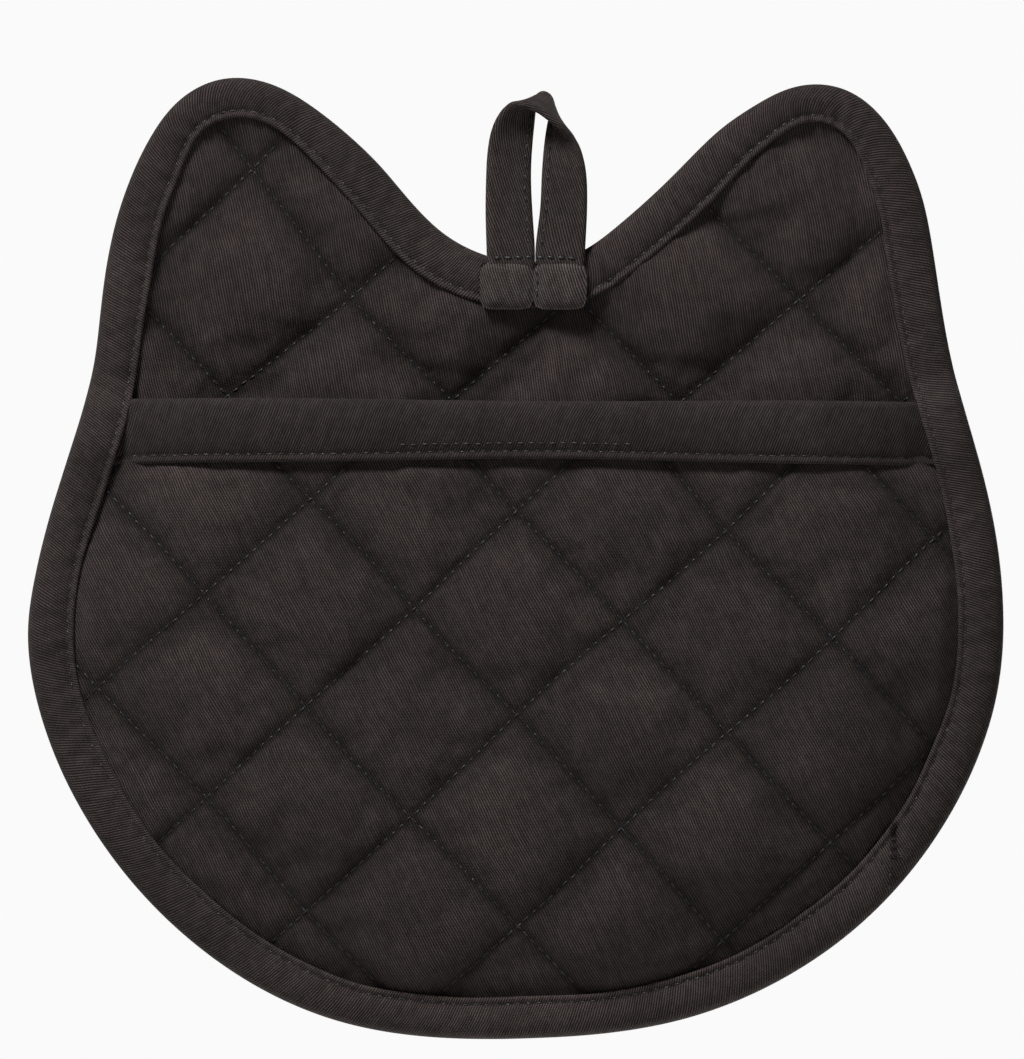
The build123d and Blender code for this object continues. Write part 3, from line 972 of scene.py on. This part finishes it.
def edge_row(name, tree, side, wanted):
    """The row that holds the edge binding, seen from one side."""
    points, into, along = along_edge(1400)
    reach = binding_reach(points, along) if side > 0 else np.full(len(points), binding_width - rear_set_back)
    line = points + into * (reach - binding_row)[:, None]
    line = np.vstack([line, line[:1]])
    ends = []
    for run in cut_where(line, wanted(line)):
        ends += stitch_ends(run, tree, side)
    if side > 0:
        ends += stitch_ends(lap_row(), tree, side)
    return threads(name, ends)


def lap_row():
    """The short row across the strip where its ends overlap."""
    inset = np.linspace(1.2, binding_width - 2.2, 30)
    at = (lap_at + lap_slant * inset - 1.6) / edge_length * len(edge)
    k = np.rint(at).astype(int) % len(edge)
    return edge[k] + inward[k] * inset[:, None]


def clear_of_tape(line):
    over = (line[:, 0] > end_left - 0.5) & (line[:, 0] < end_right + 0.5)
    return ~(over & (line[:, 1] > end_foot_z - 1))


def everywhere(line):
    return np.ones(len(line), bool)


# %% Rows of the band and the tape
def band_rows():
    """The topstitching of the band: one row all along, and a second in the middle."""
    x = np.linspace(band_left + 6.5, band_right - 6.5, 700)
    foot = band_line(x)[1]
    lower = np.column_stack([x, foot + band_row])
    middle = (x > -31) & (x < 23)
    return [lower, np.column_stack([x, foot + 3.3])[middle]]


def tape_rows():
    """The row beside the inner edge of the tape, on both its faces all round the loop."""
    outer, inner, across, face = tape_frame()
    ends = []
    for side in (1, -1):
        line = inner - across * tape_row_gap + face * side * (tape_half - 0.2)
        run = np.concatenate([[0], np.cumsum(np.linalg.norm(np.diff(line, axis=0), axis=1))])
        for at in np.arange(1.0, run[-1] - 6.0, stitch_pitch):
            a, b = (np.array([np.interp(s, run, line[:, k]) for k in range(3)])
                    for s in (at, at + stitch_pitch * 0.75))
            k = int(np.interp(at, run, np.arange(len(run))))
            if a[2] > loop_foot_z - 3.5:
                ends.append((a, b, face[k] * side))
    return threads("tape_edge_stitches", ends)


def tack_rows():
    """The row across the tape just above both sewn ends, and one down beside the seam between them."""
    tree = surface_of(sewn_left, sewn_right, hanging_tape)
    across = np.array([(end_left + 0.6, end_top_z + 0.45), (end_seam - 4, end_top_z + 0.8),
                       (end_seam + 4, end_top_z + 0.8), (end_right - 0.6, end_top_z + 0.45)])
    down = np.array([(end_seam + 0.9, end_top_z - 1.6), (end_seam + 0.9, end_foot_z + 0.8)])
    ends = stitch_ends(across, tree, 1) + stitch_ends(down, tree, 1)
    return threads("tape_tack_stitches", ends, tack_radius)


# %% All the stitches
binding_tree = surface_of(edge_strip)
base_front_rows = quilting("base_rows_front", base_lattice, inside_binding, base_front, 1)
base_rear_rows = quilting("base_rows_rear", base_lattice, inside_binding, base_rear, -1)
pocket_front_rows = quilting("pocket_rows_front", pocket_lattice, below_band, pocket_front, 1)
pocket_inside_rows = quilting("pocket_rows_inside", pocket_lattice, below_band, pocket_lining, -1)
edge_front_row = edge_row("edge_row_front", binding_tree, 1, clear_of_tape)
edge_rear_row = edge_row("edge_row_rear", binding_tree, -1, everywhere)
band_tree = surface_of(mouth_strip)
band_row_ends = []
for band_row in band_rows():
    band_row_ends += stitch_ends(band_row, band_tree, 1)
mouth_rows = threads("mouth_strip_rows", band_row_ends)
tape_stitches = tape_rows()
tack_stitches = tack_rows()

# %% [markdown]
# ## Finishes
# Twill shows as fine slanting ribs, each a chain of short floats that step along from rib to rib. The ribs
# are drawn from the cloth map in millimetres, with a slow wander so they never look ruled. One node group
# holds the weave and another the lint and fading, and every cloth on the mitt uses both.

# %% Node helpers
def add_node(tree, kind, **values):
    node = tree.nodes.new(kind)
    for key, value in values.items():
        setattr(node, key, value)
    return node


def feed(tree, socket, value):
    """Links a socket's value, or sets it where the value is a plain number or vector."""
    if isinstance(value, bpy.types.NodeSocket):
        tree.links.new(value, socket)
    else:
        socket.default_value = value


def sum_up(tree, operation, a, b=0.0, c=0.0):
    node = add_node(tree, "ShaderNodeMath", operation=operation)
    for socket, value in zip(node.inputs, (a, b, c)):
        feed(tree, socket, value)
    return node.outputs[0]


def wave(tree, phase):
    """A cosine from 0 to 1, with one crest at each whole number."""
    cosine = sum_up(tree, "COSINE", sum_up(tree, "MULTIPLY", phase, 2 * math.pi))
    return sum_up(tree, "MULTIPLY_ADD", cosine, 0.5, 0.5)


def remap(tree, value, low_in, high_in, low_out, high_out):
    node = add_node(tree, "ShaderNodeMapRange", interpolation_type="SMOOTHSTEP")
    for name, number in zip(("Value", "From Min", "From Max", "To Min", "To Max"),
                            (value, low_in, high_in, low_out, high_out)):
        feed(tree, node.inputs[name], number)
    return node.outputs["Result"]


def noise(tree, place, scale, detail=2.0, roughness=0.5):
    node = add_node(tree, "ShaderNodeTexNoise")
    feed(tree, node.inputs["Vector"], place)
    node.inputs["Scale"].default_value = scale
    node.inputs["Detail"].default_value = detail
    node.inputs["Roughness"].default_value = roughness
    return node.outputs["Fac"]


def new_group(name, inputs, outputs):
    tree = bpy.data.node_groups.new(name, "ShaderNodeTree")
    for label, kind, value in inputs:
        socket = tree.interface.new_socket(name=label, in_out="INPUT", socket_type=kind)
        if value is not None:
            socket.default_value = value
    for label, kind in outputs:
        tree.interface.new_socket(name=label, in_out="OUTPUT", socket_type=kind)
    return tree, add_node(tree, "NodeGroupInput").outputs, add_node(tree, "NodeGroupOutput").inputs


# %% Weave
def build_twill():
    tree, given, result = new_group(
        "Twill weave",
        (("Place", "NodeSocketVector", None), ("Slant", "NodeSocketFloat", 1.2),
         ("Rib pitch", "NodeSocketFloat", 0.55)),
        (("Tone", "NodeSocketFloat"), ("Height", "NodeSocketFloat")))
    turned = add_node(tree, "ShaderNodeVectorRotate", rotation_type="Z_AXIS")
    feed(tree, turned.inputs["Vector"], given["Place"])
    feed(tree, turned.inputs["Angle"], given["Slant"])
    apart = add_node(tree, "ShaderNodeSeparateXYZ")
    feed(tree, apart.inputs[0], turned.outputs[0])
    wander = sum_up(tree, "MULTIPLY_ADD", noise(tree, given["Place"], 0.05, 1.0), 1.6, apart.outputs[0])
    jitter = sum_up(tree, "MULTIPLY_ADD", noise(tree, given["Place"], 0.8, 1.0), 0.14, wander)
    phase = sum_up(tree, "DIVIDE", jitter, given["Rib pitch"])
    rib = wave(tree, phase)
    number = sum_up(tree, "FLOOR", sum_up(tree, "ADD", phase, 0.5))
    step = sum_up(tree, "MULTIPLY_ADD", number, 0.37, sum_up(tree, "DIVIDE", apart.outputs[1], 0.75))
    floats = wave(tree, step)
    spot = add_node(tree, "ShaderNodeCombineXYZ")
    feed(tree, spot.inputs[0], number)
    feed(tree, spot.inputs[1], sum_up(tree, "FLOOR", sum_up(tree, "DIVIDE", apart.outputs[1], 5.0)))
    odd = add_node(tree, "ShaderNodeTexWhiteNoise", noise_dimensions="2D")
    feed(tree, odd.inputs["Vector"], spot.outputs[0])
    slub = sum_up(tree, "MULTIPLY_ADD", odd.outputs["Value"], 0.4, 0.8)
    body = sum_up(tree, "MULTIPLY", rib, sum_up(tree, "MULTIPLY_ADD", floats, 0.3, 0.7))
    feed(tree, result["Height"], body)
    feed(tree, result["Tone"], sum_up(tree, "MULTIPLY", body, slub))
    return tree


# %% Lint and fading
def build_lint():
    tree, given, result = new_group(
        "Lint and fading",
        (("Place", "NodeSocketVector", None), ("Colour", "NodeSocketColor", (0.03, 0.03, 0.03, 1)),
         ("Amount", "NodeSocketFloat", 0.5)),
        (("Colour", "NodeSocketColor"), ("Roughness", "NodeSocketFloat")))
    slow = remap(tree, noise(tree, given["Place"], 0.035, 3.0), 0.3, 0.7, 0.86, 1.16)
    grain = remap(tree, noise(tree, given["Place"], 0.5, 4.0, 0.65), 0.3, 0.7, 0.82, 1.2)
    shade = add_node(tree, "ShaderNodeVectorMath", operation="SCALE")
    feed(tree, shade.inputs[0], given["Colour"])
    feed(tree, shade.inputs["Scale"], sum_up(tree, "MULTIPLY", slow, grain))
    speck = remap(tree, noise(tree, given["Place"], 1.6, 2.0, 0.6), 0.70, 0.78, 0.0, 1.0)
    speck = sum_up(tree, "MULTIPLY", speck, given["Amount"])
    dusted = add_node(tree, "ShaderNodeMix", data_type="RGBA")
    feed(tree, dusted.inputs["Factor"], speck)
    feed(tree, dusted.inputs["A"], shade.outputs[0])
    dusted.inputs["B"].default_value = (0.11, 0.10, 0.095, 1)
    feed(tree, result["Colour"], dusted.outputs["Result"])
    feed(tree, result["Roughness"], remap(tree, noise(tree, given["Place"], 0.2, 2.0), 0.3, 0.7, 0.84, 0.97))
    return tree


twill_group = build_twill()
lint_group = build_lint()


def place_group(tree, group, **values):
    node = add_node(tree, "ShaderNodeGroup", node_tree=group)
    for name, value in values.items():
        feed(tree, node.inputs[name.replace("_", " ")], value)
    return node


print("node groups", [group.name for group in (twill_group, lint_group)])

# %% [markdown]
# The cloths differ in the slant of their ribs, in how light they are, and in whether they have quilting rows,
# along which shade is painted. Each gets its own material from one recipe.

# %% Twill
def mix_colour(tree, factor, a, b):
    node = add_node(tree, "ShaderNodeMix", data_type="RGBA")
    feed(tree, node.inputs["Factor"], factor)
    feed(tree, node.inputs["A"], a)
    feed(tree, node.inputs["B"], b)
    return node.outputs["Result"]


def principled(name):
    material = bpy.data.materials.new(name)
    material.use_nodes = True
    tree = material.node_tree
    return material, tree, tree.nodes["Principled BSDF"]


def twill_material(name, slant, rib, gap, rows, lint=0.5, pitch=0.55):
    """Charcoal twill. slant is the ribs' angle in degrees from the cloth map's level. A quilted cloth has
    painted shade along its rows. A strip is worn paler along its stitched edge and has painted light from
    below at the chin."""
    material, tree, shader = principled(name)
    place = add_node(tree, "ShaderNodeUVMap", uv_map="cloth").outputs[0]
    weave = place_group(tree, twill_group, Place=place, Slant=math.radians(90 - slant), Rib_pitch=pitch)
    tone = remap(tree, weave.outputs["Tone"], 0.08, 0.90, 0.0, 1.0)
    colour = mix_colour(tree, tone, (*gap, 1), (*rib, 1))
    if rows:
        # Painted shade: the colour darkens in the stitched rows and for several millimetres either side of
        # them, where the puffs' shade falls.
        near = add_node(tree, "ShaderNodeAttribute", attribute_name="row_gap").outputs["Fac"]
        painted_row_shade = remap(tree, near, 0.2, 1.8, 0.54, 1.0)
        shade = sum_up(tree, "MULTIPLY", painted_row_shade, remap(tree, near, 0.0, 7.5, 0.72, 1.08))
        pull = remap(tree, near, 0.4, 5.5, 4.5, 0.0)
        puckers = sum_up(tree, "MULTIPLY", noise(tree, place, 0.42, 2.0), pull)
    else:
        across = add_node(tree, "ShaderNodeSeparateXYZ")
        feed(tree, across.inputs[0], place)
        # Painted light from below: the strip is made paler towards the bottom of the chin.
        painted_light_axes = add_node(tree, "ShaderNodeSeparateXYZ")
        feed(tree, painted_light_axes.inputs[0], add_node(tree, "ShaderNodeTexCoord").outputs["Object"])
        chin = remap(tree, painted_light_axes.outputs[2], -0.204, -0.185, 1.24, 1.0)
        sewn_edge = remap(tree, across.outputs[1], 0.6, 2.6, 1.22, 1.0)
        shade = sum_up(tree, "MULTIPLY", sewn_edge, chin)
        puckers = sum_up(tree, "MULTIPLY", noise(tree, place, 0.3, 2.0), 1.5)
    shaded = add_node(tree, "ShaderNodeVectorMath", operation="SCALE")
    feed(tree, shaded.inputs[0], colour)
    feed(tree, shaded.inputs["Scale"], shade)
    colour = shaded.outputs[0]
    worn = place_group(tree, lint_group, Place=place, Colour=colour, Amount=lint)
    feed(tree, shader.inputs["Base Color"], worn.outputs["Colour"])
    feed(tree, shader.inputs["Roughness"], worn.outputs["Roughness"])
    shader.inputs["Specular IOR Level"].default_value = 0.18
    shader.inputs["Sheen Weight"].default_value = 0.05
    shader.inputs["Sheen Roughness"].default_value = 0.5
    shader.inputs["Sheen Tint"].default_value = (0.82, 0.77, 0.75, 1)
    crumple = noise(tree, place, 0.22, 3.0, 0.55)
    height = sum_up(tree, "MULTIPLY_ADD", crumple, 1.3, sum_up(tree, "ADD", weave.outputs["Height"], puckers))
    bump = add_node(tree, "ShaderNodeBump")
    bump.inputs["Strength"].default_value = 0.75
    bump.inputs["Distance"].default_value = 0.12 * mm
    feed(tree, bump.inputs["Height"], height)
    feed(tree, shader.inputs["Normal"], bump.outputs[0])
    return material


# %% The seven cloths
rib_tone, gap_tone = (0.0510, 0.0388, 0.0354), (0.0068, 0.0049, 0.0045)
base_twill = twill_material("Charcoal twill, pad", 102, rib_tone, gap_tone, True)
pocket_twill = twill_material("Charcoal twill, pocket", 117, rib_tone, gap_tone, True)
lining_twill = twill_material("Charcoal twill, lining", 115, (0.0460, 0.0354, 0.0324), gap_tone, True)
edge_twill = twill_material("Bias twill, edge", 112,
                            (0.0540, 0.0412, 0.0378), (0.0066, 0.0048, 0.0044), False, 0.8)
mouth_twill = twill_material("Bias twill, mouth", 68,
                             (0.0400, 0.0308, 0.0282), (0.0046, 0.0033, 0.0030), False)
tape_twill = twill_material("Loop tape", 162,
                            (0.0590, 0.0458, 0.0418), (0.0064, 0.0047, 0.0043), False)
end_twill = twill_material("Worn tape end", 110,
                           (0.0760, 0.0620, 0.0570), (0.0098, 0.0075, 0.0069), False, 1.0)


# %% [markdown]
# Wadding is a pale mat of tufts, and the thread is a dark, slightly glossy twist with a few glints painted
# into its colour.

# %% Wadding and thread
def wadding_material():
    material, tree, shader = principled("Cotton wadding")
    place = add_node(tree, "ShaderNodeTexCoord").outputs["Object"]
    tufts = noise(tree, place, 700.0, 5.0, 0.7)
    colour = mix_colour(tree, tufts, (0.42, 0.40, 0.37, 1), (0.74, 0.72, 0.68, 1))
    feed(tree, shader.inputs["Base Color"], colour)
    shader.inputs["Roughness"].default_value = 0.95
    bump = add_node(tree, "ShaderNodeBump")
    bump.inputs["Distance"].default_value = 0.3 * mm
    feed(tree, bump.inputs["Height"], tufts)
    feed(tree, shader.inputs["Normal"], bump.outputs[0])
    return material


def thread_material():
    material, tree, shader = principled("Sewing thread")
    place = add_node(tree, "ShaderNodeTexCoord").outputs["Object"]
    twist = noise(tree, place, 2600.0, 2.0, 0.5)
    # Painted glints: paler bluish spots in the thread's colour stand in for highlights.
    painted_glint = remap(tree, twist, 0.56, 0.74, 0.0, 1.0)
    colour = mix_colour(tree, painted_glint, (0.0065, 0.0060, 0.0065, 1), (0.085, 0.088, 0.10, 1))
    feed(tree, shader.inputs["Base Color"], colour)
    shader.inputs["Roughness"].default_value = 0.42
    bump = add_node(tree, "ShaderNodeBump")
    bump.inputs["Distance"].default_value = 0.05 * mm
    feed(tree, bump.inputs["Height"], twist)
    feed(tree, shader.inputs["Normal"], bump.outputs[0])
    return material


wadding_fill = wadding_material()
thread_finish = thread_material()


# %% Dressing the pieces
def dress(material, *pieces):
    for piece in pieces:
        piece.data.materials.clear()
        piece.data.materials.append(material)


dress(base_twill, base_front, base_rear)
dress(pocket_twill, pocket_front)
dress(lining_twill, pocket_lining)
dress(edge_twill, edge_strip)
dress(mouth_twill, mouth_strip)
dress(tape_twill, hanging_tape)
dress(end_twill, sewn_left, sewn_right)
dress(wadding_fill, base_wadding, pocket_wadding)
thread_pieces = (base_front_rows, base_rear_rows, pocket_front_rows, pocket_inside_rows, edge_front_row,
                 edge_rear_row, mouth_rows, tape_stitches, tack_stitches)
dress(thread_finish, *thread_pieces)
print("materials", [material.name for material in bpy.data.materials])

# %% [markdown]
# ## What moves with what
# The pad's pieces ride on the pad. The pocket is sewn to the pad round its edge. A weight that depends only
# on the place says how far a point of it follows the pocket: nothing at the edge, all of it in the middle. It
# is worked out for each of the pocket's pieces, and they and the tape are only set in place, without a bend.

# %% How far the pocket's pieces follow the pocket
hinge_z, foot_z = -0.0288, -0.1983        # where the loop bends and where the pocket's hinge lies, in metres


def sides_at(height):
    """The outline's left and right x in mm at each height of the pocket."""
    lower = edge[edge[:, 1] < pocket_reach]
    chin_x = edge[edge[:, 1].argmin(), 0]
    sides = []
    for side in (lower[lower[:, 0] < chin_x], lower[lower[:, 0] > chin_x]):
        side = side[np.argsort(side[:, 1])]
        sides.append(np.interp(height, side[:, 1], side[:, 0]))
    return sides


def pocket_share(place):
    """How far a point in mm follows the pocket. Nothing at the sewn edge, all of it in the middle."""
    left, right = sides_at(place[:, 2])
    from_left, from_right = place[:, 0] - left - binding_width, right - binding_width - place[:, 0]
    across = np.maximum(from_left, 0) * np.maximum(from_right, 0)
    across = across * 4 / np.maximum(from_left + from_right, 5) ** 2
    up = np.clip((place[:, 2] - foot_z / mm) / foot_fade, 0, 1)
    return np.clip(across, 0, 1) * np.sin(np.pi / 2 * up) ** 2


# %% Bodies
pocket_pieces = (pocket_front, pocket_wadding, pocket_lining, mouth_strip, mouth_rows,
                 pocket_front_rows, pocket_inside_rows)
for piece in pocket_pieces:
    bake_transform(piece)
    share = pocket_share(coordinates(piece) / mm)
for piece in (base_front, base_rear, base_wadding, edge_strip, sewn_left, sewn_right,
              base_front_rows, base_rear_rows, edge_front_row, edge_rear_row, tack_stitches):
    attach(piece, "pad")
for piece in (hanging_tape, tape_stitches):
    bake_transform(piece)

# %% Replaced nodes
for piece, slot, node in (
        (base_front, "twill", "base_front_cover"),
        (base_rear, "twill", "base_rear_cover"),
        (base_wadding, "wadding", "base_wadding"),
        (pocket_front, "twill", "pocket_front_cover"),
        (pocket_wadding, "wadding", "pocket_wadding"),
        (pocket_lining, "lining", "pocket_lining"),
        (edge_strip, "bias_binding", "edge_binding"),
        (mouth_strip, "bias_binding", "pocket_top_binding"),
        (hanging_tape, "loop_tape", "hanging_loop"),
        (sewn_left, "loop_tape", "loop_end_left"),
        (sewn_right, "loop_tape", "loop_end_right"),
        (base_front_rows, "thread", "base_quilting_front"),
        (base_rear_rows, "thread", "base_quilting_rear"),
        (pocket_front_rows, "thread", "pocket_quilting_front"),
        (pocket_inside_rows, "thread", "pocket_quilting_inside"),
        (edge_front_row, "thread", "edge_stitching_front"),
        (edge_rear_row, "thread", "edge_stitching_rear"),
        (mouth_rows, "thread", "pocket_binding_stitching"),
        (tape_stitches, "thread", "loop_edge_stitching"),
        (tack_stitches, "thread", "loop_tack_stitching")):
    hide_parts(node)
    print(piece.name, "stands for", node)

# %% [markdown]

# %% [markdown]
# ## Camera, floor and light
# A long lens far away keeps the mitt square on. The floor is a plain pale sheet below it and the world a
# pale backdrop, and both look bright to the camera but light the mitt only a little. The key light stands
# above and to the left, weak ones fill in from the right and from below, and one lights the back.

# %% Camera
camera_data = bpy.data.cameras.new("Camera")
camera = bpy.data.objects.new("Camera", camera_data)
bpy.context.collection.objects.link(camera)
camera_distance = 2.2
view_width = 0.2306
sensor = 36
camera_data.sensor_fit = "HORIZONTAL"
camera_data.sensor_width = sensor
camera_data.lens = sensor * camera_distance / view_width
camera_data.clip_end = 50
camera.location = (-0.00563, -camera_distance, -0.09336)
camera.rotation_euler = (math.radians(90), 0, 0)
bpy.context.scene.camera = camera

# %% Floor and lights
deselect()
bpy.ops.mesh.primitive_grid_add(x_subdivisions=4, y_subdivisions=4, size=12.0, location=(0, 0, -0.56))
floor = bpy.context.object
floor.name = "floor"
floor_paint, floor_tree, floor_shader = principled("Pale floor")
floor_shader.inputs["Base Color"].default_value = (0.85, 0.85, 0.84, 1)
floor_shader.inputs["Roughness"].default_value = 0.8
floor_shader.inputs["Emission Color"].default_value = (1.0, 1.0, 1.0, 1)
floor_seen = add_node(floor_tree, "ShaderNodeLightPath").outputs["Is Camera Ray"]
feed(floor_tree, floor_shader.inputs["Emission Strength"], remap(floor_tree, floor_seen, 0.0, 1.0, 0.0, 0.6))
dress(floor_paint, floor)

world = bpy.data.worlds.new("Studio")
bpy.context.scene.world = world
world.use_nodes = True
world_tree = world.node_tree
backdrop = world_tree.nodes["Background"]
seen = add_node(world_tree, "ShaderNodeLightPath").outputs["Is Camera Ray"]
backdrop.inputs["Color"].default_value = (1.0, 1.0, 1.0, 1)
feed(world_tree, backdrop.inputs["Strength"], remap(world_tree, seen, 0.0, 1.0, 0.07, 0.955))


def soft_light(name, place, size, power, target):
    data = bpy.data.lights.new(name, "AREA")
    data.shape = "RECTANGLE"
    data.size, data.size_y = size
    data.energy = power
    light = bpy.data.objects.new(name, data)
    light.location = place
    light.rotation_euler = (Vector(target) - Vector(place)).to_track_quat("-Z", "Y").to_euler()
    bpy.context.collection.objects.link(light)
    return light


soft_light("Key light", (-0.52, -0.68, 1.15), (0.4, 0.4), 31, (0, 0, -0.1))
soft_light("Fill light", (0.9, -1.2, 0.1), (0.8, 0.8), 1.7, (0, 0, -0.1))
soft_light("Low light", (0.1, -1.0, -0.9), (0.8, 0.5), 2.0, (0, 0, -0.15))
soft_light("Back light", (0.3, 1.6, -0.05), (0.8, 0.8), 24, (0, 0, -0.1))
bpy.context.scene.view_settings.view_transform = "Standard"
